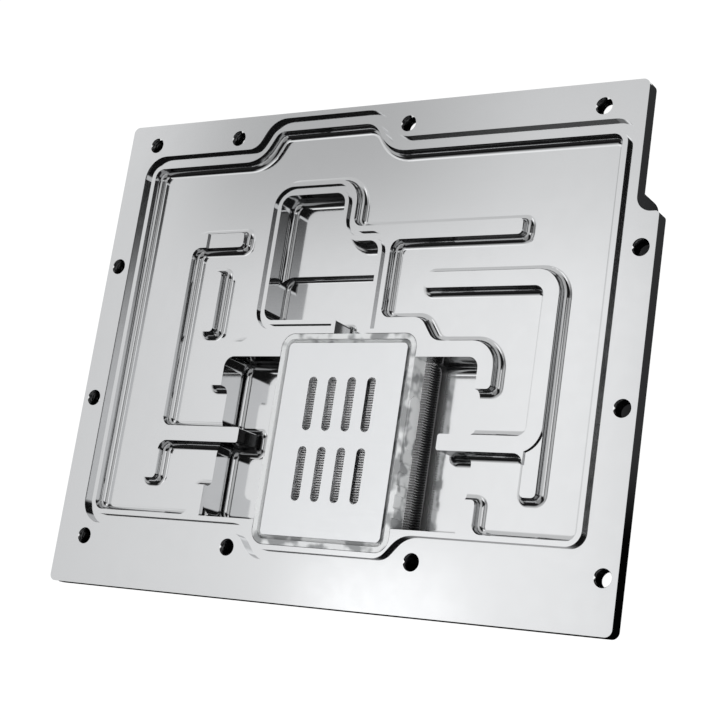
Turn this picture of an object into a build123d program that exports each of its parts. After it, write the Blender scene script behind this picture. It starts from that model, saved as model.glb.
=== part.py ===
from build123d import *
from math import radians, sin, tan
import os

# Graphics card water block, opened: a milled cold plate with its flow insert and jet plate.
# Millimetres. X runs along the long side, Y along the short side, Z out of the milled front face.
# The origin lies under the middle of the plate, in the plane of the contact pads on the back.

# plate
plate_length = 130.0
plate_width = 103.4
plate_corner = 1.4
flange_thickness = 3.3
block_depth = 10.3          # from the front face to the contact pads
notch_step = 4.7            # how far the upper right side is set back
notch_drop = 26.3           # from the top edge down to the notch's foot
notch_round = 3.0
notch_nose = 0.8

# perimeter seal groove, measured from the plate's edges to the groove's middle line
seal_side_margin = 6.8
seal_top_margin = 8.6
seal_bottom_margin = 14.0
seal_width = 2.0
seal_depth = 1.2
seal_round = 4.0
seal_lip = 1.0              # wall left between the groove and the flow pocket

# bulge of the groove over the inlet port
port_bulge_rise = 6.5
port_bulge_left = -24.85
port_bulge_width = 26.2
port_left_slope = 60.0
port_left_round = 4.5
port_right_slope = 55.0
port_right_round = 6.0

# swell of the groove round the foot of the flow insert
swell_slope = 50.0
swell_round = 4.5
swell_inset = 1.1

# flow pocket
pocket_depth = 2.5
floor_round = 1.5
rib_width = 3.2
rib_round = 5.1             # outside corner of a rib's bend
bend_round = 2.0            # inside corner of a rib's bend
rib_end_round = 0.9
rib_relief = 0.5            # some rib ends stand this much lower

# cooling chamber over the processor
core_x = 2.05               # middle of the processor along X
chamber_length = 59.9
chamber_width = 33.6
chamber_depth = 8.3
chamber_round = 2.2
deep_floor_round = 1.6
chamber_rib_drop = 6.2      # how far the chamber's upper rib turns down at each end
stub_height = 6.4
arm_height = 15.4           # from the pocket's lower wall to the lower edge of the two arms
arm_reach = 6.6             # how far each arm stands into the chamber
arm_nose = 0.5

# cooling fins
fin_pitch = 0.5
fin_gap = 0.25
fin_overhang = 1.25         # fins show this far past each side of the insert

# inlet pocket above the chamber
passage_width = 7.5
passage_length = 2.9
inlet_foot_width = 25.7
inlet_neck_width = 15.9
inlet_top_gap = 5.45        # from the land round the inlet up to the pocket's top wall
inlet_neck_height = 10.7
inlet_round = 2.4
inlet_waist_round = 5.15
inlet_depth = 4.9
inlet_step_height = 10.8    # from the inlet's lower wall to the step in its floor
inlet_low_depth = 6.8       # below that step
inlet_low_round = 0.9
inlet_lip = 0.9
small_seal_width = 1.1
small_seal_depth = 0.7
small_seal_rim = 0.85

# baffles in the flow pocket
left_channel = 11.3
right_channel = 9.2
long_baffle_gap = 18.6      # from the long baffle's end to the pocket's right wall
left_arm_gap = 6.15         # from the left baffle's upper arm to the land round the inlet
left_arm_full = 6.6
right_arm_gap = 8.95        # from that land to the right baffle's upper arm
right_arm_share = 0.546     # of the free height there, this much lies above the arm
leg_drop = 7.4              # from the legs' ends to the pocket's lower wall
guide_offset = 8.9          # left baffle to the short guide
guide_drop = 5.6            # long baffle's lower edge to the short guide's top
guide_rise = 2.2            # chamber's upper rib to the short guide's foot

# flow insert and jet plate
insert_length = 31.8
insert_width = 43.0
insert_round = 2.8
insert_clearance = 0.1
seat_depth = 4.4            # the insert's height: it stands on the fins' tops
insert_lip = 1.05
jet_gap = 0.85
jet_thickness = 1.2
jet_round = 1.0
jet_ledge = 1.5
jet_slot_width = 2.0
jet_slot_length = 11.0
jet_slot_pitch = 4.6
jet_row_pitch = 14.2
jet_slots_in_row = 4
inlet_mouth_height = 2.4
inlet_mouth_margin = 0.5    # wall left on each side of the insert's inlet mouth

# pad and bars standing proud of the insert's long sides
pad_proud = 0.3
pad_length = 10.5
pad_offset = 4.1            # from the insert's middle up to the pad's
pad_margin = 0.3            # left free above and below the pad
bar_width = 1.8
bar_pitch = 4.45
bar_offset = 4.9            # from the insert's middle down to the first bar
bar_foot = 0.7              # left free below each bar
bar_count = 3

# screw holes
screw_hole = 3.5
screw_top_margin = 4.8
screw_bottom_margin = 10.05
screw_left_margin = 7.5
screw_tab_margin = 8.8      # from the set-back edge to the top row's last screw
screw_side_margin = 2.85
screw_pitch = 43.0
side_screw_pitch = 30.0
side_screw_rise = 7.4       # lower side screws, above the processor's middle
blind_screw_depth = 7.0
standoff_pitch = 53.3
standoff_hole = 2.5
standoff_hole_depth = 5.0

# back of the plate
web_thickness = 5.4         # behind the flow pocket
web_inset = 6.0
web_side_inset = 1.8        # from the set-back edge
web_wall = 0.7              # past the groove's outer edge
web_port_wall = 2.2         # past the two corners of the groove's bulge
web_rim = 1.0
block_corner = 3.0
block_top_margin = 20.1
block_bottom_margin = 13.7
port_boss_height = 7.0
port_boss_wall = 4.0
foot_height = 11.0
foot_wall = 0.5
pad_relief = 0.8
processor_pad = 38.0
memory_length = 14.0
memory_width = 12.0
memory_gap = 5.0            # between the processor's pad and the memory's
memory_spacing = 3.0        # between neighbouring memory pads
supply_pad_width = 12.0

# making
bend_share = 0.45           # of a sloping run, each of its two bends takes up no more
round_share = 0.45          # of a channel's width, each of its two floor rounds takes up no more
run_out = 1.0               # how far a cut goes past the face it opens
root_overlap = 0.5          # how far a fin reaches into the floor it grows from

# worked out from the sizes above
front = block_depth
half_length = plate_length / 2
half_width = plate_width / 2
tab_edge = half_length - notch_step
seal_left = seal_side_margin - half_length
seal_right = half_length - seal_side_margin
seal_top = half_width - seal_top_margin
seal_bottom = seal_bottom_margin - half_width
pocket_inset = seal_width / 2 + seal_lip
pocket_left = seal_left + pocket_inset
pocket_right = seal_right - pocket_inset
pocket_top = seal_top - pocket_inset
pocket_bottom = seal_bottom + pocket_inset
chamber_left = core_x - chamber_length / 2
chamber_right = core_x + chamber_length / 2
chamber_top = pocket_bottom + chamber_width
core_y = pocket_bottom + chamber_width / 2
seat_top = core_y + insert_width / 2 + insert_clearance
seat_bottom = core_y - insert_width / 2 - insert_clearance
seat_right = core_x + insert_length / 2 + insert_clearance
inlet_bottom = seat_top + passage_length
inlet_right = core_x + passage_width / 2
inlet_left = inlet_right - inlet_foot_width
inlet_neck = inlet_left + inlet_neck_width
inlet_rim = inlet_lip + small_seal_width + small_seal_rim
inlet_top = pocket_top - inlet_top_gap - inlet_rim
inlet_shoulder = inlet_top - inlet_neck_height
land_left = inlet_left - inlet_rim
land_right = inlet_right + inlet_rim
arm_bottom = pocket_bottom + arm_height
left_baffle = pocket_left + left_channel
right_baffle = pocket_right - right_channel
leg_bottom = pocket_bottom + leg_drop
core_top = chamber_top + rib_width
core_step = seat_top + rib_width
arm_space = inlet_shoulder - core_step - rib_width
right_arm_top = inlet_shoulder - right_arm_share * arm_space
side_space = right_baffle - chamber_right - 2 * rib_width
narrowest = min(right_arm_share * arm_space, (1 - right_arm_share) * arm_space, side_space)
pocket_round = min(floor_round, round_share * narrowest)


def outline(corners):
    """Flat shape from corners given as (x, y, corner radius)."""
    points = [(x, y) for x, y, _ in corners]
    radii = [r for _, _, r in corners]
    return make_face(FilletPolyline(*points, radius=radii, close=True))


def area(x0, y0, x1, y1):
    """Plain rectangle between two opposite corners."""
    return Pos((x0 + x1) / 2, (y0 + y1) / 2) * Rectangle(x1 - x0, y1 - y0)


def column(shape, depth, top=0.0):
    """The shape as a solid, from a depth below the front face up to another."""
    return extrude(Pos(0, 0, front - depth) * shape, depth - top)


def cutter(shape, depth, round_by=0.0):
    """Milling cutter's path: a solid from above the front face down, with its floor edges round."""
    tool = column(shape, depth, -run_out)
    if not round_by:
        return tool
    return fillet(tool.edges().group_by(Axis.Z)[0], round_by)


def drill(x, y, diameter, low, high):
    """Round hole between two levels."""
    return Pos(x, y, low) * extrude(Circle(diameter / 2), high - low)


def slope_run(rise, slope):
    """How far a sloping run goes sideways while it climbs by the rise."""
    return rise / tan(radians(slope))


def bend(rise, slope, wanted):
    """Radius at both ends of a sloping run, limited by the run's own length."""
    run = rise / sin(radians(slope))
    return min(wanted, bend_share * run / tan(radians(slope) / 2))


def seal_course():
    """Middle line of the perimeter groove, as a closed shape."""
    swell_low = seat_bottom - seal_lip - seal_width / 2
    swell_half = insert_length / 2 - swell_inset
    swell_rise = seal_bottom - swell_low
    swell_run = slope_run(swell_rise, swell_slope)
    swell_bend = bend(swell_rise, swell_slope, swell_round)
    left_bend = bend(port_bulge_rise, port_left_slope, port_left_round)
    right_bend = bend(port_bulge_rise, port_right_slope, port_right_round)
    bulge_top = seal_top + port_bulge_rise
    bulge_right = port_bulge_left + port_bulge_width
    return outline([
        (seal_left, seal_bottom, seal_round),
        (core_x - swell_half - swell_run, seal_bottom, swell_bend),
        (core_x - swell_half, swell_low, swell_bend),
        (core_x + swell_half, swell_low, swell_bend),
        (core_x + swell_half + swell_run, seal_bottom, swell_bend),
        (seal_right, seal_bottom, seal_round),
        (seal_right, seal_top, seal_round),
        (bulge_right + slope_run(port_bulge_rise, port_right_slope), seal_top, right_bend),
        (bulge_right, bulge_top, right_bend),
        (port_bulge_left, bulge_top, left_bend),
        (port_bulge_left - slope_run(port_bulge_rise, port_left_slope), seal_top, left_bend),
        (seal_left, seal_top, seal_round),
    ])


def core_rib():
    """Raised land round the inlet pocket, with the long baffle and the chamber's upper rib."""
    land_top = inlet_top + inlet_rim
    neck_right = inlet_neck + inlet_rim
    left = chamber_left - rib_width
    right = chamber_right + rib_width
    rib_end = chamber_top - chamber_rib_drop
    s_bend = bend(core_step - core_top, port_right_slope, rib_width)
    s_run = slope_run(core_step - core_top, port_right_slope)
    baffle_end = pocket_right - long_baffle_gap
    return outline([
        (left, rib_end, rib_end_round),
        (chamber_left, rib_end, 0),
        (chamber_left, chamber_top, chamber_round),
        (chamber_right, chamber_top, chamber_round),
        (chamber_right, rib_end, 0),
        (right, rib_end, rib_end_round),
        (right, core_top, rib_round),
        (seat_right + s_run, core_top, s_bend),
        (seat_right, core_step, s_bend),
        (land_right, core_step, bend_round),
        (land_right, inlet_shoulder, bend_round),
        (baffle_end, inlet_shoulder, rib_end_round),
        (baffle_end, inlet_shoulder + rib_width, rib_end_round),
        (neck_right, inlet_shoulder + rib_width, bend_round),
        (neck_right, land_top, rib_round),
        (land_left, land_top, rib_round),
        (land_left, core_top, bend_round),
        (left, core_top, rib_round),
    ])


def left_baffle_rib():
    """Baffle on the left: an upper arm, the upright and the arm into the chamber."""
    inner = left_baffle + rib_width
    top = inlet_shoulder + rib_width
    arm_end = land_left - left_arm_gap
    return outline([
        (left_baffle, arm_bottom, rib_round),
        (chamber_left + arm_reach, arm_bottom, arm_nose),
        (chamber_left + arm_reach, arm_bottom + rib_width, arm_nose),
        (inner, arm_bottom + rib_width, bend_round),
        (inner, inlet_shoulder, bend_round),
        (arm_end, inlet_shoulder, rib_end_round),
        (arm_end, top, rib_end_round),
        (left_baffle, top, rib_round),
    ])


def right_baffle_rib():
    """Baffle on the right, the left one's counterpart."""
    inner = right_baffle - rib_width
    arm_end = land_right + right_arm_gap
    return outline([
        (right_baffle, arm_bottom, rib_round),
        (right_baffle, right_arm_top, rib_round),
        (arm_end, right_arm_top, rib_end_round),
        (arm_end, right_arm_top - rib_width, rib_end_round),
        (inner, right_arm_top - rib_width, bend_round),
        (inner, arm_bottom + rib_width, bend_round),
        (chamber_right - arm_reach, arm_bottom + rib_width, arm_nose),
        (chamber_right - arm_reach, arm_bottom, arm_nose),
    ])


def leg(x):
    """Lower end of a baffle's upright, with its left side at x."""
    return outline([
        (x, leg_bottom, rib_end_round),
        (x + rib_width, leg_bottom, rib_end_round),
        (x + rib_width, arm_bottom + rib_round, 0),
        (x, arm_bottom + rib_round, 0),
    ])


def leg_root(x, side):
    """Round between a leg and the arm beside it: side is 1 for an arm on the right of x."""
    far = x + side * bend_round
    behind = x + side * max(bend_round, rib_round - rib_width)
    root = area(min(x, far), arm_bottom - bend_round, max(x, far), arm_bottom)
    root -= Pos(far, arm_bottom - bend_round) * Circle(bend_round)
    return root + area(min(x, behind), arm_bottom, max(x, behind), arm_bottom + rib_width)


def guide():
    """Short rib beside the left baffle."""
    x = left_baffle + guide_offset
    top = inlet_shoulder - guide_drop
    foot = core_top + guide_rise
    return outline([
        (x, foot, rib_end_round),
        (x + rib_width, foot, rib_end_round),
        (x + rib_width, top, rib_end_round),
        (x, top, rib_end_round),
    ])


def stub(chamber_side, side):
    """Short rib on the pocket's lower wall beside the chamber: side points away from it."""
    outer = chamber_side + side * rib_width
    top = pocket_bottom + stub_height
    x0, x1 = min(chamber_side, outer), max(chamber_side, outer)
    flare = area(min(outer, outer + side * bend_round), pocket_bottom,
                 max(outer, outer + side * bend_round), pocket_bottom + bend_round)
    flare -= Pos(outer + side * bend_round, pocket_bottom + bend_round) * Circle(bend_round)
    body = area(x0, pocket_bottom - run_out, x1, top)
    tip = body.vertices().group_by(Axis.Y)[-1].sort_by(Axis.X)
    return fillet(tip[0] if side < 0 else tip[-1], rib_end_round) + flare


def flow_pocket():
    """Shallow pocket inside the seal groove, less everything that stands in it."""
    inside = offset(seal_course(), -pocket_inset)
    inside &= area(-half_length, pocket_bottom, half_length, half_width)
    inside -= core_rib() + guide()
    inside -= left_baffle_rib() + leg(left_baffle) + leg_root(left_baffle + rib_width, 1)
    inside -= right_baffle_rib() + leg(right_baffle - rib_width)
    inside -= leg_root(right_baffle - rib_width, -1)
    inside -= stub(chamber_left, -1) + stub(chamber_right, 1)
    return inside


def chamber():
    """Deep pocket under the insert, with the two arms standing in it."""
    arm_top = arm_bottom + rib_width
    return outline([
        (chamber_left, pocket_bottom, chamber_round),
        (chamber_right, pocket_bottom, chamber_round),
        (chamber_right, arm_bottom, bend_round),
        (chamber_right - arm_reach, arm_bottom, arm_nose),
        (chamber_right - arm_reach, arm_top, arm_nose),
        (chamber_right, arm_top, bend_round),
        (chamber_right, chamber_top, chamber_round),
        (chamber_left, chamber_top, chamber_round),
        (chamber_left, arm_top, bend_round),
        (chamber_left + arm_reach, arm_top, arm_nose),
        (chamber_left + arm_reach, arm_bottom, arm_nose),
        (chamber_left, arm_bottom, bend_round),
    ])


def inlet():
    """Inlet pocket with the passage that leads down to the insert."""
    passage_left = inlet_right - passage_width
    return outline([
        (inlet_left, inlet_bottom, inlet_round),
        (passage_left, inlet_bottom, arm_nose),
        (passage_left, seat_top, 0),
        (inlet_right, seat_top, 0),
        (inlet_right, inlet_shoulder, inlet_round),
        (inlet_neck, inlet_shoulder, inlet_waist_round),
        (inlet_neck, inlet_top, inlet_round),
        (inlet_left, inlet_top, inlet_round),
    ])


def inlet_low():
    """Deeper lower part of the inlet pocket."""
    step = inlet_bottom + inlet_step_height
    return inlet() & outline([
        (inlet_left, seat_top, 0),
        (inlet_right, seat_top, 0),
        (inlet_right, step, inlet_round),
        (inlet_left, step, inlet_round),
    ])


def small_seal():
    """Narrow groove round the inlet pocket, open where the passage leaves it."""
    out = inlet_lip + small_seal_width / 2
    outside = inlet_round + out
    course = FilletPolyline(
        (inlet_right + out, seat_top + inlet_lip),
        (inlet_right + out, inlet_shoulder + out),
        (inlet_neck + out, inlet_shoulder + out),
        (inlet_neck + out, inlet_top + out),
        (inlet_left - out, inlet_top + out),
        (inlet_left - out, inlet_bottom - out),
        (inlet_right - passage_width - seal_lip, inlet_bottom - out),
        radius=[outside, inlet_waist_round - out, outside, outside, outside],
    )
    return trace(course, small_seal_width)


def rounded(length, width, corner):
    """Rounded rectangle over the middle of the processor."""
    return Pos(core_x, core_y) * RectangleRounded(length, width, corner)


def fins():
    """Cooling fins: a block on the chamber's floor, slotted from end to end."""
    length = insert_length + 2 * (insert_clearance + fin_overhang)
    floor = Pos(core_x, core_y) * Rectangle(length, chamber_width)
    block = column(floor, chamber_depth + root_overlap, seat_depth)
    count = int(chamber_width // fin_pitch)
    slots = [Pos(0, i * fin_pitch) * Rectangle(length, fin_gap) for i in range(count)]
    first = core_y - (count - 1) * fin_pitch / 2
    return block - column(Pos(core_x, first) * Sketch(children=slots), chamber_depth, seat_depth - run_out)


def screw_places():
    """Cover screws: first those that pass through the flange, then those that end in the block."""
    top = half_width - screw_top_margin
    bottom = screw_bottom_margin - half_width
    side = half_length - screw_side_margin
    left = screw_left_margin - half_length
    last = tab_edge - screw_tab_margin
    side_low = core_y + side_screw_rise
    through = [(last - i * screw_pitch, top) for i in range(3)]
    through += [(left, top), (left, bottom), (side, bottom)]
    through += [(s * side, y) for s in (-1, 1) for y in (side_low, side_low + side_screw_pitch)]
    blind = [(core_x + s * screw_pitch / 2, bottom) for s in (-1, 1)]
    return through, blind


def standoff_places():
    """Threaded holes on the back, in a square round the processor."""
    half = standoff_pitch / 2
    return [(core_x + sx * half, core_y + sy * half) for sx in (-1, 1) for sy in (-1, 1)]


def islands():
    """Contact pads on the back: processor, memory and power supply stages."""
    memory_row = core_y + processor_pad / 2 + memory_gap + memory_width / 2
    memory_column = processor_pad / 2 + memory_gap + memory_width / 2
    pads = Pos(core_x, core_y) * Rectangle(processor_pad, processor_pad)
    step = memory_length + memory_spacing
    for i in (-1, 0, 1):
        pads += Pos(core_x + i * step, memory_row) * Rectangle(memory_length, memory_width)
    for side in (-1, 1):
        for row in (-0.5, 0.5):
            place = Pos(core_x + side * memory_column, core_y + row * step)
            pads += place * Rectangle(memory_width, memory_length)
        edge = side * (tab_edge - supply_pad_width / 2)
        low = block_bottom_margin - half_width
        high = half_width - block_top_margin
        pads += Pos(edge, (low + high) / 2) * Rectangle(supply_pad_width, high - low)
    return pads


def back_block():
    """Stepped block behind the flange, with its pads milled proud."""
    low = block_bottom_margin - half_width
    high = half_width - block_top_margin
    shape = Pos(0, (low + high) / 2) * RectangleRounded(2 * tab_edge, high - low, block_corner)
    boss_left, boss_right = inlet_left - port_boss_wall, inlet_neck + port_boss_wall
    shape += outline([
        (boss_left, core_y, 0),
        (boss_right, core_y, 0),
        (boss_right, high + port_boss_height, block_corner),
        (boss_left, high + port_boss_height, block_corner),
    ])
    foot = chamber_length / 2 + foot_wall
    shape += outline([
        (core_x - foot, low - foot_height, block_corner),
        (core_x + foot, low - foot_height, block_corner),
        (core_x + foot, core_y, 0),
        (core_x - foot, core_y, 0),
    ])
    block = column(shape, block_depth, flange_thickness)
    reliefs = shape - islands()
    return block - column(reliefs, block_depth, block_depth - pad_relief)


def web():
    """Middle step of the back, behind the flow pocket and the groove."""
    left, right = web_inset - half_length, tab_edge - web_side_inset
    low, high = web_inset - half_width, seal_top + seal_width / 2 + web_wall
    port_left = port_bulge_left - slope_run(port_bulge_rise, port_left_slope) - web_port_wall
    port_right = port_bulge_left + port_bulge_width + web_port_wall
    port_high = half_width - web_rim
    shape = outline([
        (left, low, block_corner),
        (right, low, block_corner),
        (right, high, block_corner),
        (port_right, high, bend_round),
        (port_right, port_high, block_corner),
        (port_left, port_high, block_corner),
        (port_left, high, bend_round),
        (left, high, block_corner),
    ])
    return column(shape, web_thickness, flange_thickness)


def flange():
    """Plate outline with the notch in its upper right side."""
    notch_foot = half_width - notch_drop
    shape = outline([
        (-half_length, -half_width, plate_corner),
        (half_length, -half_width, plate_corner),
        (half_length, notch_foot, notch_nose),
        (tab_edge, notch_foot, notch_round),
        (tab_edge, half_width, plate_corner),
        (-half_length, half_width, plate_corner),
    ])
    return column(shape, flange_thickness)


def cold_plate():
    """The milled plate: one piece of nickel plated copper."""
    course = seal_course()
    groove = offset(course, seal_width / 2) - offset(course, -seal_width / 2)
    plate = flange() + web() + back_block()
    plate -= cutter(groove, seal_depth)
    plate -= cutter(flow_pocket(), pocket_depth, pocket_round)
    plate -= cutter(chamber(), chamber_depth, deep_floor_round)
    plate -= cutter(inlet(), inlet_depth, floor_round)
    plate -= cutter(inlet_low(), inlet_low_depth, inlet_low_round)
    plate -= cutter(small_seal(), small_seal_depth)
    seat = rounded(insert_length + 2 * insert_clearance, insert_width + 2 * insert_clearance,
                   insert_round + insert_clearance)
    plate -= cutter(seat, seat_depth)
    plate += fins()
    low_ends = leg(left_baffle) - left_baffle_rib() + (leg(right_baffle - rib_width) - right_baffle_rib())
    low_ends += left_baffle_rib() & area(left_baffle + left_arm_full, inlet_shoulder - run_out,
                                         land_left, pocket_top)
    plate -= column(low_ends, rib_relief, -run_out)
    through, blind = screw_places()
    for x, y in through:
        plate -= drill(x, y, screw_hole, front - web_thickness, front + run_out)
    for x, y in blind:
        plate -= drill(x, y, screw_hole, front - blind_screw_depth, front + run_out)
    for x, y in standoff_places():
        plate -= drill(x, y, standoff_hole, -run_out, standoff_hole_depth)
    return plate


def side_pads():
    """Obround pad and short bars that stand proud of the insert's two long sides."""
    reach = insert_length / 2 + pad_proud
    middle = front - seat_depth / 2
    side = Plane(origin=(core_x - reach, core_y, middle), x_dir=(0, 1, 0), z_dir=(1, 0, 0))
    shape = Pos(pad_offset, 0) * SlotOverall(pad_length, seat_depth - 2 * pad_margin)
    for i in range(bar_count):
        place = Pos(-bar_offset - i * bar_pitch, bar_foot / 2)
        shape += place * Rectangle(bar_width, seat_depth - bar_foot)
    return extrude(side * shape, 2 * reach)


def flow_insert():
    """Clear moulded frame: it carries the jet plate over the fins and feeds it from the inlet."""
    frame = column(rounded(insert_length, insert_width, insert_round), seat_depth)
    frame += side_pads()
    inside_length = insert_length - 2 * insert_lip
    inside_width = insert_width - 2 * insert_lip
    frame -= column(rounded(inside_length, inside_width, insert_round - insert_lip),
                    jet_thickness, -run_out)
    ledge = 2 * (jet_gap + jet_ledge)
    opening = rounded(inside_length - ledge, inside_width - ledge, jet_round)
    frame -= column(opening, seat_depth + run_out)
    mouth = area(inlet_right - passage_width + inlet_mouth_margin, core_y,
                 inlet_right - inlet_mouth_margin, seat_top)
    frame -= column(mouth, seat_depth + run_out, seat_depth - inlet_mouth_height)
    return frame


def jet_plate():
    """Steel plate with slots that spread the coolant over the fins."""
    length = insert_length - 2 * (insert_lip + jet_gap)
    width = insert_width - 2 * (insert_lip + jet_gap)
    plate = rounded(length, width, jet_round)
    for row in (-0.5, 0.5):
        for i in range(jet_slots_in_row):
            x = core_x + (i - (jet_slots_in_row - 1) / 2) * jet_slot_pitch
            plate -= Pos(x, core_y + row * jet_row_pitch) * SlotOverall(jet_slot_length, jet_slot_width, 90)
    return column(plate, jet_thickness)


os.makedirs("parts", exist_ok=True)
export_step(cold_plate(), "parts/cold_plate.step")
export_step(flow_insert(), "parts/flow_insert.step")
export_step(jet_plate(), "parts/jet_plate.step")
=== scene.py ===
import bpy
import numpy as np
from math import radians
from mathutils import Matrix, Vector


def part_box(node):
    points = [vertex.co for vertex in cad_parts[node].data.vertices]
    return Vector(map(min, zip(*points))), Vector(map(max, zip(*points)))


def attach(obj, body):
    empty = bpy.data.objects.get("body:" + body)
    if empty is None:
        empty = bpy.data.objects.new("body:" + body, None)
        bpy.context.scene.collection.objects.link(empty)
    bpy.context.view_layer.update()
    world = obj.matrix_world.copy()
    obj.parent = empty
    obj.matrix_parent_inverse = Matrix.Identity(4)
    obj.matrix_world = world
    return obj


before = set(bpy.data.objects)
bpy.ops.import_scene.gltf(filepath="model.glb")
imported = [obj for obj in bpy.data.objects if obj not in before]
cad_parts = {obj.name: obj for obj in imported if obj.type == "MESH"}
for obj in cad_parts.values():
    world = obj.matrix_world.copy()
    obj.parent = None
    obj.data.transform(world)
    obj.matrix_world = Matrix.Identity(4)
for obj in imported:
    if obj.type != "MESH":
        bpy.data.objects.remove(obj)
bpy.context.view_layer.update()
bpy.context.scene.view_settings.view_transform = "Standard"
print("frame loaded:", sorted(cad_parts))


# Node helpers

def newNode(tree, kind, **sockets):
    # a socket is given by name, with _ for a space: a value, or another node's output
    made = tree.nodes.new("ShaderNode" + kind)
    for name, value in sockets.items():
        plug(tree, made.inputs[name.replace("_", " ")], value)
    return made


def plug(tree, socket, value):
    if isinstance(value, bpy.types.NodeSocket):
        tree.links.new(value, socket)
    else:
        socket.default_value = value


def maths(tree, operation, *values):
    made = tree.nodes.new("ShaderNodeMath")
    made.operation = operation
    for socket, value in zip(made.inputs, values):
        plug(tree, socket, value)
    return made.outputs[0]


def axes(tree, vector):
    made = newNode(tree, "SeparateXYZ", Vector=vector)
    return made.outputs["X"], made.outputs["Y"], made.outputs["Z"]


def smoothStep(tree, value, low, high, fromLevel=0.0, toLevel=1.0):
    # goes smoothly from one level to another while value goes from low to high
    made = tree.nodes.new("ShaderNodeMapRange")
    made.interpolation_type = "SMOOTHSTEP"
    for name, setting in (("Value", value), ("From Min", low), ("From Max", high),
                          ("To Min", fromLevel), ("To Max", toLevel)):
        plug(tree, made.inputs[name], setting)
    return made.outputs["Result"]


def between(tree, mask, low, high):
    # low where the mask is 0, high where it is 1
    return smoothStep(tree, mask, 0.0, 1.0, low, high)


def blendColour(tree, mask, first, second):
    # the first colour where the mask is 0, the second where it is 1
    made = tree.nodes.new("ShaderNodeMix")
    made.data_type = "RGBA"
    plug(tree, made.inputs["Factor"], mask)
    colours = [s for s in made.inputs if s.type == "RGBA"]
    plug(tree, colours[0], first)
    plug(tree, colours[1], second)
    return next(s for s in made.outputs if s.type == "RGBA")


def newGroup(name, inputs, outputs):
    # inputs are name: default, outputs are name: socket type
    tree = bpy.data.node_groups.new(name, "ShaderNodeTree")
    for label, default in inputs.items():
        kind = "NodeSocketVector" if label == "Position" else "NodeSocketFloat"
        made = tree.interface.new_socket(label, in_out="INPUT", socket_type=kind)
        if kind == "NodeSocketFloat":
            made.default_value = default
    for label, kind in outputs.items():
        tree.interface.new_socket(label, in_out="OUTPUT", socket_type="NodeSocket" + kind)
    return tree, tree.nodes.new("NodeGroupInput"), tree.nodes.new("NodeGroupOutput")


def useGroup(tree, group, **sockets):
    made = tree.nodes.new("ShaderNodeGroup")
    made.node_tree = group
    for name, value in sockets.items():
        plug(tree, made.inputs[name.replace("_", " ")], value)
    return made


# Shared surface effects

grainNoise = {"detail": 3.0, "roughness": 0.6}
hazeNoise = {"finer": 7.0, "broadDetail": 2.0, "smallDetail": 4.0, "shows": (0.15, 0.38)}   # none to full


def makeGrainGroup():
    # fine parallel lines: noise stretched along X, as a tool or a roll leaves them
    tree, inward, outward = newGroup(
        "toolGrain", {"Position": None, "Lines per Metre": 4000.0, "Stretch": 0.02}, {"Mask": "Float"})
    lines = inward.outputs["Lines per Metre"]
    along = maths(tree, "MULTIPLY", lines, inward.outputs["Stretch"])
    scale = newNode(tree, "CombineXYZ", X=along, Y=lines, Z=lines)
    place = newNode(tree, "VectorMath")
    place.operation = "MULTIPLY"
    tree.links.new(inward.outputs["Position"], place.inputs[0])
    tree.links.new(scale.outputs[0], place.inputs[1])
    noise = newNode(tree, "TexNoise", Vector=place.outputs[0], Scale=1.0,
                    Detail=grainNoise["detail"], Roughness=grainNoise["roughness"])
    tree.links.new(noise.outputs["Fac"], outward.inputs["Mask"])
    return tree


def makeHazeGroup():
    # broad uneven haze of a handled, polished surface: two sizes of noise multiplied
    tree, inward, outward = newGroup(
        "handlingHaze", {"Position": None, "Patch Size": 0.02}, {"Mask": "Float"})
    position = inward.outputs["Position"]
    scale = maths(tree, "DIVIDE", 1.0, inward.outputs["Patch Size"])
    finer = maths(tree, "MULTIPLY", scale, hazeNoise["finer"])
    broad = newNode(tree, "TexNoise", Vector=position, Scale=scale, Detail=hazeNoise["broadDetail"])
    small = newNode(tree, "TexNoise", Vector=position, Scale=finer, Detail=hazeNoise["smallDetail"])
    mixed = maths(tree, "MULTIPLY", broad.outputs["Fac"], small.outputs["Fac"])
    tree.links.new(smoothStep(tree, mixed, *hazeNoise["shows"]), outward.inputs["Mask"])
    return tree


toolGrain = makeGrainGroup()
handlingHaze = makeHazeGroup()


def hazeMask(tree, where, finish):
    return useGroup(tree, handlingHaze, Position=where, Patch_Size=finish["hazePatch"]).outputs["Mask"]


def grainMask(tree, where, finish):
    return useGroup(tree, toolGrain, Position=where, Lines_per_Metre=finish["grainLines"],
                    Stretch=finish["grainStretch"]).outputs["Mask"]


def raiseGrain(tree, shader, grain, finish):
    bump = newNode(tree, "Bump", Strength=1.0, Distance=finish["grainHeight"], Height=grain)
    tree.links.new(bump.outputs["Normal"], shader.inputs["Normal"])


def newMaterial(name):
    # gives the Texture Coordinate node too: Object is the place, Normal the way a face is turned
    made = bpy.data.materials.new(name)
    made.use_nodes = True
    tree = made.node_tree
    return made, tree, tree.nodes["Principled BSDF"], tree.nodes.new("ShaderNodeTexCoord")


# Nickel plating of the cold plate, with painted light and shade on its fins and painted shade on the floor
# beside them

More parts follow.
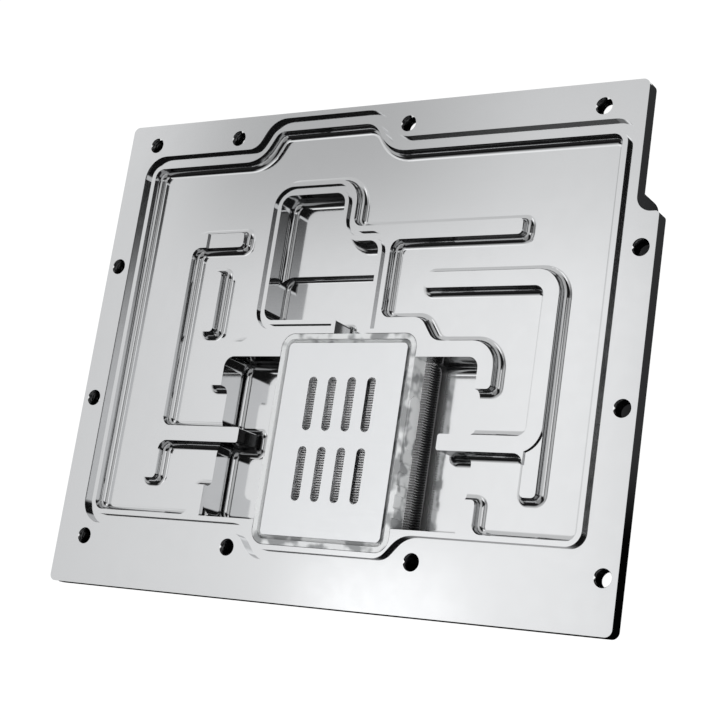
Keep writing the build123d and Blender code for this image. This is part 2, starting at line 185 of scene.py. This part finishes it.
nickel = {
    "colourClean": (0.700, 0.704, 0.710, 1.0),
    "colourHazy": (0.692, 0.696, 0.702, 1.0),
    "roughnessClean": 0.085,
    "roughnessHazy": 0.10,
    "hazePatch": 0.022,
    "grainLines": 5200.0,
    "grainStretch": 0.03,
    "grainHeight": 0.0000012,
}
finsWithPaintedLightAndShade = {
    "under": (0.90, 0.90, 0.91, 1.0),          # painted light: below the jet plate, pale so the slots look lit
    "top": (0.09, 0.09, 0.092, 1.0),           # painted shade: past it, dark where they look up
    "side": (0.60, 0.60, 0.605, 1.0),          # painted light: past it, on the faces between them near the top
    "end": (0.015, 0.015, 0.016, 1.0),         # painted shade: end faces, and deep down between them
    "lit": (0.0013, 0.00195),                  # the painted light gives way to painted shade from the first depth to the second
    "fade": (0.0125, 0.0170),                  # the painted light under the plate gives way to the rest, away from the insert's middle
    "turned": 0.5,                             # how far a face is turned to be an end or a top
    "metal": 0.12,
    "roughness": 0.55,
    "margin": 0.0013,                          # how far they reach past the insert
    "clearance": 0.00001,                      # takes in their top faces
}
roughAndPaintedShade = {
    "colour": (0.40, 0.40, 0.405, 1.0),        # painted shade: darker beside the fins' ends
    "roughness": 0.42,
    "reach": 0.0025,                           # from the fins' ends outwards
    "boxMargin": 0.005,
}


def boxMask(tree, places, low, high):
    # 1 inside the box, 0 outside
    inside = 1.0
    for place, start, end in zip(places, low, high):
        inside = maths(tree, "MULTIPLY", inside, maths(tree, "GREATER_THAN", place, start))
        inside = maths(tree, "MULTIPLY", inside, maths(tree, "LESS_THAN", place, end))
    return inside


def paintedFinLightAndShade(tree, surface, outwards, depth):
    # painted light and shade on the fins: by place under the plate, by depth, and by which way a face is
    # turned
    sideways, _, upwards = axes(tree, surface.outputs["Normal"])
    past = blendColour(tree, smoothStep(tree, depth, *finsWithPaintedLightAndShade["lit"]), finsWithPaintedLightAndShade["side"], finsWithPaintedLightAndShade["end"])
    past = blendColour(tree, maths(tree, "GREATER_THAN", upwards, finsWithPaintedLightAndShade["turned"]), past, finsWithPaintedLightAndShade["top"])
    colour = blendColour(tree, smoothStep(tree, outwards, *finsWithPaintedLightAndShade["fade"]), finsWithPaintedLightAndShade["under"], past)
    ends = maths(tree, "GREATER_THAN", maths(tree, "ABSOLUTE", sideways), finsWithPaintedLightAndShade["turned"])
    return blendColour(tree, ends, colour, finsWithPaintedLightAndShade["end"])


def makeNickelPlating():
    made, tree, shader, surface = newMaterial("nickelPlating")
    where = surface.outputs["Object"]
    places = axes(tree, where)
    low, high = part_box("flow_insert")
    outwards = maths(tree, "ABSOLUTE", maths(tree, "SUBTRACT", places[0], (low[0] + high[0]) / 2))
    depth = maths(tree, "SUBTRACT", low[2], places[2])
    onFins = boxMask(tree, places, (low[0] - finsWithPaintedLightAndShade["margin"], low[1], 0.0),
                     (high[0] + finsWithPaintedLightAndShade["margin"], high[1], low[2] + finsWithPaintedLightAndShade["clearance"]))
    beside = boxMask(tree, places, (low[0] - roughAndPaintedShade["boxMargin"], low[1], 0.0),
                     (high[0] + roughAndPaintedShade["boxMargin"], high[1], low[2]))
    finEnd = (high[0] - low[0]) / 2 + finsWithPaintedLightAndShade["margin"]
    # painted shade on the floor beside the fins' ends, fading outwards, which is rougher there too
    roughAndPaintedShadeMask = smoothStep(tree, outwards, finEnd, finEnd + roughAndPaintedShade["reach"], 1.0, 0.0)
    roughAndPaintedShadeMask = maths(tree, "MULTIPLY", roughAndPaintedShadeMask, beside)
    haze = hazeMask(tree, where, nickel)
    plating = blendColour(tree, haze, nickel["colourClean"], nickel["colourHazy"])
    plating = blendColour(tree, roughAndPaintedShadeMask, plating, roughAndPaintedShade["colour"])
    # the fins get painted light and shade in place of the plating
    colour = blendColour(tree, onFins, plating, paintedFinLightAndShade(tree, surface, outwards, depth))
    plug(tree, shader.inputs["Base Color"], colour)
    rough = between(tree, haze, nickel["roughnessClean"], nickel["roughnessHazy"])
    rough = between(tree, roughAndPaintedShadeMask, rough, roughAndPaintedShade["roughness"])
    plug(tree, shader.inputs["Roughness"], between(tree, onFins, rough, finsWithPaintedLightAndShade["roughness"]))
    plug(tree, shader.inputs["Metallic"], between(tree, onFins, 1.0, finsWithPaintedLightAndShade["metal"]))
    raiseGrain(tree, shader, grainMask(tree, where, nickel), nickel)
    return made


# Rolled steel of the jet plate

steel = {
    "colour": (0.772, 0.780, 0.790, 1.0),
    "colourInLines": (0.726, 0.733, 0.742, 1.0),
    "roughnessClean": 0.16,
    "roughnessHazy": 0.18,
    "hazePatch": 0.013,
    "grainLines": 9000.0,
    "grainStretch": 0.012,
    "grainHeight": 0.0000012,
}


def makeRolledSteel():
    made, tree, shader, surface = newMaterial("rolledSteel")
    where = surface.outputs["Object"]
    grain = grainMask(tree, where, steel)
    colour = blendColour(tree, grain, steel["colour"], steel["colourInLines"])
    plug(tree, shader.inputs["Base Color"], colour)
    haze = hazeMask(tree, where, steel)
    rough = between(tree, haze, steel["roughnessClean"], steel["roughnessHazy"])
    plug(tree, shader.inputs["Roughness"], rough)
    raiseGrain(tree, shader, grain, steel)
    shader.inputs["Metallic"].default_value = 1.0
    return made


# Nickel in the screw threads, darkened as painted shade down the holes, with a painted highlight on what
# faces up at a hole's mouth

threadShadeAndHighlight = {
    # painted shade: thread colours far darker than the plating, varying at random between these two
    "crest": (0.13, 0.13, 0.132, 1.0),
    "root": (0.03, 0.03, 0.031, 1.0),
    "hazePatch": 0.0012,
    "mouth": (0.95, 0.95, 0.95, 1.0),
    "mouthTurned": 0.95,                       # how far a face looks up to get the painted highlight
    "roughness": 0.16,
}


def makeThreadShadeAndHighlight():
    made, tree, shader, surface = newMaterial("threadShadeAndHighlight")
    haze = hazeMask(tree, surface.outputs["Object"], threadShadeAndHighlight)
    paintedShadeFlank = blendColour(tree, haze, threadShadeAndHighlight["crest"], threadShadeAndHighlight["root"])
    upwards = axes(tree, surface.outputs["Normal"])[2]
    # painted highlight on faces that look up
    mouth = maths(tree, "GREATER_THAN", upwards, threadShadeAndHighlight["mouthTurned"])
    plug(tree, shader.inputs["Base Color"], blendColour(tree, mouth, paintedShadeFlank, threadShadeAndHighlight["mouth"]))
    shader.inputs["Metallic"].default_value = 1.0
    shader.inputs["Roughness"].default_value = threadShadeAndHighlight["roughness"]
    return made


# Clear plastic of the insert, with painted grey patches for dark metal seen through it

plastic = {
    "clearLook": (0.94, 0.955, 0.96, 1.0),
    "paintedSeeThrough": (0.36, 0.37, 0.375, 1.0),      # painted: the dark metal seen through it, as grey colour
    "greyPatch": 0.0045,
    "greyDetail": 2.0,
    "greyShows": (0.46, 0.60),
    "greyEnds": (0.0185, 0.0200),              # comes in between these distances from the middle along Y
    "greyRight": 0.002,                        # and in this width of the right side
    "roughnessClean": 0.10,
    "roughnessHazy": 0.18,
    "hazePatch": 0.006,
    "ior": 1.49,
    "clear": 0.50,
}


def makeClearPlastic():
    made, tree, shader, surface = newMaterial("clearPlastic")
    where = surface.outputs["Object"]
    x, y, _ = axes(tree, where)
    low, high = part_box("flow_insert")
    along = maths(tree, "ABSOLUTE", maths(tree, "SUBTRACT", y, (low[1] + high[1]) / 2))
    # painted see-through: grey patches near the ends along Y and on the right side
    ends = smoothStep(tree, along, *plastic["greyEnds"])
    right = maths(tree, "GREATER_THAN", x, high[0] - plastic["greyRight"])
    patches = newNode(tree, "TexNoise", Vector=where, Scale=1 / plastic["greyPatch"],
                      Detail=plastic["greyDetail"])
    grey = smoothStep(tree, patches.outputs["Fac"], *plastic["greyShows"])
    grey = maths(tree, "MULTIPLY", grey, maths(tree, "MAXIMUM", ends, right))
    colour = blendColour(tree, grey, plastic["clearLook"], plastic["paintedSeeThrough"])
    plug(tree, shader.inputs["Base Color"], colour)
    haze = hazeMask(tree, where, plastic)
    rough = between(tree, haze, plastic["roughnessClean"], plastic["roughnessHazy"])
    plug(tree, shader.inputs["Roughness"], rough)
    shader.inputs["Transmission Weight"].default_value = plastic["clear"]
    shader.inputs["IOR"].default_value = plastic["ior"]
    return made


paintedThreadNickel = makeThreadShadeAndHighlight()


def dress(node, material):
    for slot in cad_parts[node].material_slots:
        slot.material = material


dress("cold_plate", makeNickelPlating())
dress("jet_plate", makeRolledSteel())
dress("flow_insert", makeClearPlastic())
print("materials made")


# Camera

viewpoint = {
    "place": (0.17893, -0.07349, 0.26791),
    "turn": (18.2291, 31.61495, 9.97047),      # degrees about X, Y and Z
    "lens": 80.996,
    "sensor": 36.0,
    "nearest": 0.01,
}


def makeCamera():
    data = bpy.data.cameras.new("viewpoint")
    data.lens = viewpoint["lens"]
    data.sensor_width = viewpoint["sensor"]
    data.clip_start = viewpoint["nearest"]
    made = bpy.data.objects.new("viewpoint", data)
    made.location = viewpoint["place"]
    made.rotation_euler = [radians(a) for a in viewpoint["turn"]]
    bpy.context.scene.collection.objects.link(made)
    bpy.context.scene.camera = made


makeCamera()
print("camera placed")


# Studio: a dark ceiling with soft panels of light, as a mirror that faces up shows them

# A place on the ceiling is (u, v) = (x, y) / z of the direction towards it. A panel has its edges
# there, left and right in u, near and far in v, the widths of its soft edges in u and v, its level,
# and how the level rises along u. The world's Ray Depth is 2 in one mirror and 3 in the second, and
# a light with "before" shows below that depth only.
ceiling = {"dark": 0.010, "lowest": 0.02}      # the level between panels, and the least z to divide by
panels = {
    "backWall": {"left": -40.0, "right": 0.06, "near": 0.40, "far": 40.0, "soft": (0.06, 0.10),
                 "level": 0.72},
    "strip": {"left": -0.36, "right": 0.04, "near": 0.58, "far": 0.76, "soft": (0.03, 0.04),
              "level": 1.45},
    "zenith": {"left": -0.20, "right": 0.38, "near": -0.02, "far": 0.32, "soft": (0.03, 0.07),
               "level": 0.56, "rise": -0.95},
    "leftLobe": {"left": -1.54, "right": -0.86, "near": 0.0, "far": 0.90, "soft": (0.05, 0.08),
                 "level": 0.92},
    "lowerRamp": {"left": -0.62, "right": -0.05, "near": -0.36, "far": 0.10, "soft": (0.10, 0.22),
                  "level": 0.55},
    "main": {"left": -1.18, "right": -0.36, "near": -0.04, "far": 0.44, "soft": (0.16, 0.14),
             "level": 0.975, "rise": 0.72},
    "post": {"left": -0.86, "right": -0.62, "near": 0.40, "far": 0.56, "soft": (0.08, 0.06),
             "level": 0.58},
    "glare": {"left": -0.69, "right": -0.56, "near": 0.04, "far": 0.12, "soft": (0.04, 0.04),
              "level": 1.55},
    "right": {"left": 0.52, "right": 1.60, "near": 0.03, "far": 0.34, "soft": (0.02, 0.08),
              "level": 0.86, "rise": -0.50},
    "behind": {"left": -0.10, "right": 1.3, "near": -3.0, "far": -0.50, "soft": (0.10, 0.15),
               "level": 0.32, "before": 2.5},
    "rightFar": {"left": 1.7, "right": 40.0, "near": 0.35, "far": 1.9, "soft": (0.3, 0.25),
                 "level": 0.72},
}

# Low light, which comes in from start to end away from the zenith: in the sectors towards two
# compass directions, and all round but for one sector, which the near walls' fillets show
horizon = {
    "start": 1.2, "end": 1.9, "level": 0.42,
    "sectors": [{"towards": (0.60, 0.80), "from": 0.80, "to": 0.95},
                {"towards": (0.60, -0.80), "from": 0.72, "to": 0.90}],
}
allRound = {
    "start": 1.15, "end": 1.6, "level": 0.52, "before": 2.5,
    "dim": {"towards": (-0.60, -0.80), "from": 0.88, "to": 0.97}, "dimLevel": 0.02,
}
daylight = (0.990, 0.995, 1.0)
deepBounce = {"after": 3.5, "level": 0.12}     # light that reaches the eye only after three mirrors or more


def sectorLevel(tree, aim, sector, fromLevel=0.0, toLevel=1.0):
    # aim is (u, v) at length 1: its product with the compass direction is 1 straight towards it
    east = maths(tree, "MULTIPLY", aim[0], sector["towards"][0])
    towards = maths(tree, "MULTIPLY_ADD", aim[1], sector["towards"][1], east)
    return smoothStep(tree, towards, sector["from"], sector["to"], fromLevel, toLevel)


def lowLight(tree, u, v, depth):
    squares = maths(tree, "ADD", maths(tree, "MULTIPLY", u, u), maths(tree, "MULTIPLY", v, v))
    reach = maths(tree, "SQRT", squares)
    aim = maths(tree, "DIVIDE", u, reach), maths(tree, "DIVIDE", v, reach)
    lit = 0.0
    for sector in horizon["sectors"]:
        lit = maths(tree, "MAXIMUM", lit, sectorLevel(tree, aim, sector))
    ring = smoothStep(tree, reach, horizon["start"], horizon["end"])
    inSectors = between(tree, maths(tree, "MULTIPLY", ring, lit), ceiling["dark"], horizon["level"])
    around = sectorLevel(tree, aim, allRound["dim"], allRound["level"], allRound["dimLevel"])
    around = maths(tree, "MULTIPLY", around, maths(tree, "LESS_THAN", depth, allRound["before"]))
    ring = smoothStep(tree, reach, allRound["start"], allRound["end"])
    return maths(tree, "MAXIMUM", inSectors, maths(tree, "MULTIPLY", ring, around))


def panelMask(tree, u, v, panel):
    # 1 in the panel, and smoothly down to 0 across its edges
    inside = 1.0
    for place, start, end, soft in ((u, panel["left"], panel["right"], panel["soft"][0]),
                                    (v, panel["near"], panel["far"], panel["soft"][1])):
        for side, limit in ((1.0, start), (-1.0, end)):
            past = maths(tree, "MULTIPLY", maths(tree, "SUBTRACT", place, limit), side)
            inside = maths(tree, "MULTIPLY", inside, smoothStep(tree, past, -soft, soft))
    return inside


def makeWorld():
    world = bpy.data.worlds.new("studio")
    bpy.context.scene.world = world
    world.use_nodes = True
    tree = world.node_tree
    x, y, z = axes(tree, tree.nodes.new("ShaderNodeTexCoord").outputs["Generated"])
    depth = tree.nodes.new("ShaderNodeLightPath").outputs["Ray Depth"]
    height = maths(tree, "MAXIMUM", z, ceiling["lowest"])
    u = maths(tree, "DIVIDE", x, height)
    v = maths(tree, "DIVIDE", y, height)
    level = lowLight(tree, u, v, depth)
    for panel in panels.values():
        inside = panelMask(tree, u, v, panel)
        if "before" in panel:
            inside = maths(tree, "MULTIPLY", inside, maths(tree, "LESS_THAN", depth, panel["before"]))
        across = maths(tree, "SUBTRACT", u, (panel["left"] + panel["right"]) / 2)
        shade = maths(tree, "MULTIPLY_ADD", across, panel.get("rise", 0.0), 1.0)
        shade = maths(tree, "MULTIPLY", shade, panel["level"])
        away = maths(tree, "SUBTRACT", 1.0, inside)
        level = maths(tree, "MULTIPLY_ADD", shade, inside, maths(tree, "MULTIPLY", level, away))
    deep = maths(tree, "GREATER_THAN", depth, deepBounce["after"])
    level = maths(tree, "MULTIPLY", level, between(tree, deep, 1.0, deepBounce["level"]))
    shine = newNode(tree, "VectorMath")
    shine.operation = "SCALE"
    shine.inputs[0].default_value = daylight
    tree.links.new(level, shine.inputs["Scale"])
    background = tree.nodes["Background"]
    tree.links.new(shine.outputs[0], background.inputs["Color"])
    background.inputs["Strength"].default_value = 1.0


makeWorld()


# Lamp for what isn't metal: mirrors don't show it

lamp = {"place": (0.29, -0.19, 0.42), "size": 0.4, "power": 4.6}


def makeLamp():
    data = bpy.data.lights.new("softLamp", "AREA")
    data.size = lamp["size"]
    data.energy = lamp["power"]
    made = bpy.data.objects.new("softLamp", data)
    made.location = lamp["place"]
    made.rotation_euler = (-Vector(lamp["place"])).to_track_quat("-Z", "Y").to_euler()
    made.visible_glossy = False
    made.visible_transmission = False
    bpy.context.scene.collection.objects.link(made)


makeLamp()


# Floor, and a dark sheet on it under the right and near sides, which only mirrors show: a painted dark
# reflection, darker towards the near end

floorPaper = {
    "half": 3.0,
    "height": -0.0002,
    "colour": (0.86, 0.86, 0.86, 1.0),         # as it takes light and shadow
    "shown": 0.92,                             # share of plain light to the camera, metal and glass
    "light": 1.06,
}
mirrorOnlyShadeSheet = {
    "left": -0.072, "right": 0.20, "near": -0.19, "far": 0.057,
    "height": -0.0001,
    "dark": (0.001, 0.001, 0.001, 1.0),        # painted shade at the near end
    "grey": (0.027, 0.027, 0.028, 1.0),        # painted shade at the far end, less dark
    "change": (-0.034, -0.016),                # from dark to grey, along Y
}


def gridMesh(name, points, closedRows=False, closedColumns=False):
    # points are rows by columns by 3, and each four neighbours get one face
    rows, columns = points.shape[:2]
    index = np.arange(rows * columns).reshape(rows, columns)
    below = np.roll(index, -1, 0) if closedRows else index[1:]
    here = index if closedRows else index[:-1]
    if closedColumns:
        faces = np.stack([here, np.roll(here, -1, 1), np.roll(below, -1, 1), below], -1)
    else:
        faces = np.stack([here[:, :-1], here[:, 1:], below[:, 1:], below[:, :-1]], -1)
    made = bpy.data.meshes.new(name)
    made.from_pydata(points.reshape(-1, 3).tolist(), [], faces.reshape(-1, 4).tolist())
    made.update()
    return made


def layFlat(name, left, right, near, far, height):
    # flat surface (x, y) -> (x, y, height)
    x, y = np.meshgrid(np.linspace(left, right, 3), np.linspace(near, far, 3))
    points = np.stack([x, y, np.full_like(x, height)], -1)
    made = bpy.data.objects.new(name, gridMesh(name, points))
    bpy.context.scene.collection.objects.link(made)
    return made


def makeFloor():
    half = floorPaper["half"]
    made = layFlat("floorPaper", -half, half, -half, half, floorPaper["height"])
    material = bpy.data.materials.new("floorPaper")
    material.use_nodes = True
    tree = material.node_tree
    tree.nodes.remove(tree.nodes["Principled BSDF"])
    paper = newNode(tree, "BsdfDiffuse", Color=floorPaper["colour"])
    light = newNode(tree, "Emission", Color=(1.0, 1.0, 1.0, 1.0), Strength=floorPaper["light"])
    path = tree.nodes.new("ShaderNodeLightPath")
    seen = maths(tree, "ADD", path.outputs["Is Camera Ray"], path.outputs["Is Glossy Ray"])
    seen = maths(tree, "MINIMUM", maths(tree, "ADD", seen, path.outputs["Is Transmission Ray"]), 1.0)
    shown = newNode(tree, "MixShader", Fac=maths(tree, "MULTIPLY", seen, floorPaper["shown"]))
    tree.links.new(paper.outputs[0], shown.inputs[1])
    tree.links.new(light.outputs[0], shown.inputs[2])
    tree.links.new(shown.outputs[0], tree.nodes["Material Output"].inputs["Surface"])
    made.data.materials.append(material)


def makeMirrorOnlyShadeSheet():
    made = layFlat("mirrorOnlyShadeSheet", mirrorOnlyShadeSheet["left"], mirrorOnlyShadeSheet["right"], mirrorOnlyShadeSheet["near"],
                   mirrorOnlyShadeSheet["far"], mirrorOnlyShadeSheet["height"])
    material, tree, shader, surface = newMaterial("mirrorOnlyShade")
    y = axes(tree, surface.outputs["Object"])[1]
    # painted shade: darker towards the near end
    away = smoothStep(tree, y, *mirrorOnlyShadeSheet["change"])
    colour = blendColour(tree, away, mirrorOnlyShadeSheet["dark"], mirrorOnlyShadeSheet["grey"])
    plug(tree, shader.inputs["Base Color"], colour)
    shader.inputs["Roughness"].default_value = 1.0
    shader.inputs["Specular IOR Level"].default_value = 0.0
    made.data.materials.append(material)
    made.visible_camera = False
    made.visible_diffuse = False
    made.visible_transmission = False
    made.visible_shadow = False


makeFloor()
makeMirrorOnlyShadeSheet()
print("studio built")


# Threads in the screw holes

# In metres: crest, root and back are radii. A thread starts just under its hole's upper edge and runs
# down by its length. The burr's angles and width are radians, and its bothPast is a place along Y.
coverThread = {
    "crest": 0.00148, "root": 0.00174, "back": 0.00178, "pitch": 0.0007, "top": 0.010298, "leadIn": 0.0004,
    "through": [(-0.0575, 0.0469), (-0.0345, 0.0469), (0.0085, 0.0469), (0.0515, 0.0469),
                (0.06215, -0.04165), (-0.06215, -0.0115), (-0.06215, 0.0185), (0.06215, -0.0115),
                (0.06215, 0.0185)],
    "throughLength": 0.00328,
    "corner": (-0.0575, -0.04165), "cornerLength": 0.00538,
    "blind": [(-0.01945, -0.04165), (0.02355, -0.04165)], "blindLength": 0.00650,
}
standoffThread = {
    "crest": 0.00104, "root": 0.00124, "back": 0.00128, "pitch": 0.0005, "top": 0.0050, "leadIn": 0.0003,
    "places": [(-0.0246, -0.04555), (-0.0246, 0.00775), (0.0287, -0.04555), (0.0287, 0.00775)],
    "length": 0.0042,
}
threadSteps = {"round": 56, "alongEachTurn": 10, "startAngle": 2.6, "sharpFrom": 35}
burr = {"angles": (3.14, 1.10), "bothPast": 0.04, "reach": 0.00040, "width": 0.15, "depth": 0.00007}


def threadMesh(name, place, length, kind):
    # inner face: radius = root - (root - crest) * ridge(turn) * lead, turn = z / pitch + angle / (2 pi),
    # where ridge goes 0, 1, 0 in each turn and lead goes 0 to 1 over the lead-in; a plain back closes it.
    # At the mouth a burr stands in, and a second in the row past bothPast:
    # radius - reach * exp(-((angle - middle) / width)^2 - depth / burr depth)
    angle = np.linspace(0, 2 * np.pi, threadSteps["round"], endpoint=False)
    rows = int(np.ceil(length / kind["pitch"] * threadSteps["alongEachTurn"])) + 1
    depth = np.linspace(0, length, rows)
    turn = depth[:, None] / kind["pitch"] + (angle[None, :] + threadSteps["startAngle"]) / (2 * np.pi)
    lead = np.clip(depth / kind["leadIn"], 0, 1)[:, None]
    ridge = (1 - np.abs(2 * (turn % 1) - 1)) * lead
    inner = kind["root"] - (kind["root"] - kind["crest"]) * ridge
    burrs = 2 if place[1] > burr["bothPast"] else 1
    for middle in burr["angles"][:burrs]:
        spread = ((angle - middle) / burr["width"]) ** 2
        inner = inner - burr["reach"] * np.exp(-spread[None, :] - depth[:, None] / burr["depth"])
    back = np.full((2, len(angle)), kind["back"])
    radius = np.concatenate([inner, back])
    down = np.concatenate([depth, [length, 0.0]])[:, None] + 0 * angle
    points = np.stack([place[0] + radius * np.cos(angle), place[1] + radius * np.sin(angle),
                       kind["top"] - down], -1)
    return gridMesh(name, points, closedRows=True, closedColumns=True)


def makeThread(name, place, length, kind):
    made = bpy.data.objects.new(name, threadMesh(name, place, length, kind))
    made.data.materials.append(paintedThreadNickel)
    made.data.shade_smooth()
    made.data.set_sharp_from_angle(angle=radians(threadSteps["sharpFrom"]))
    bpy.context.scene.collection.objects.link(made)
    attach(made, "root")


for number, place in enumerate(coverThread["through"]):
    makeThread(f"coverThread{number}", place, coverThread["throughLength"], coverThread)
makeThread("cornerThread", coverThread["corner"], coverThread["cornerLength"], coverThread)
for number, place in enumerate(coverThread["blind"]):
    makeThread(f"blindThread{number}", place, coverThread["blindLength"], coverThread)
for number, place in enumerate(standoffThread["places"]):
    makeThread(f"standoffThread{number}", place, standoffThread["length"], standoffThread)
print("threads cut")
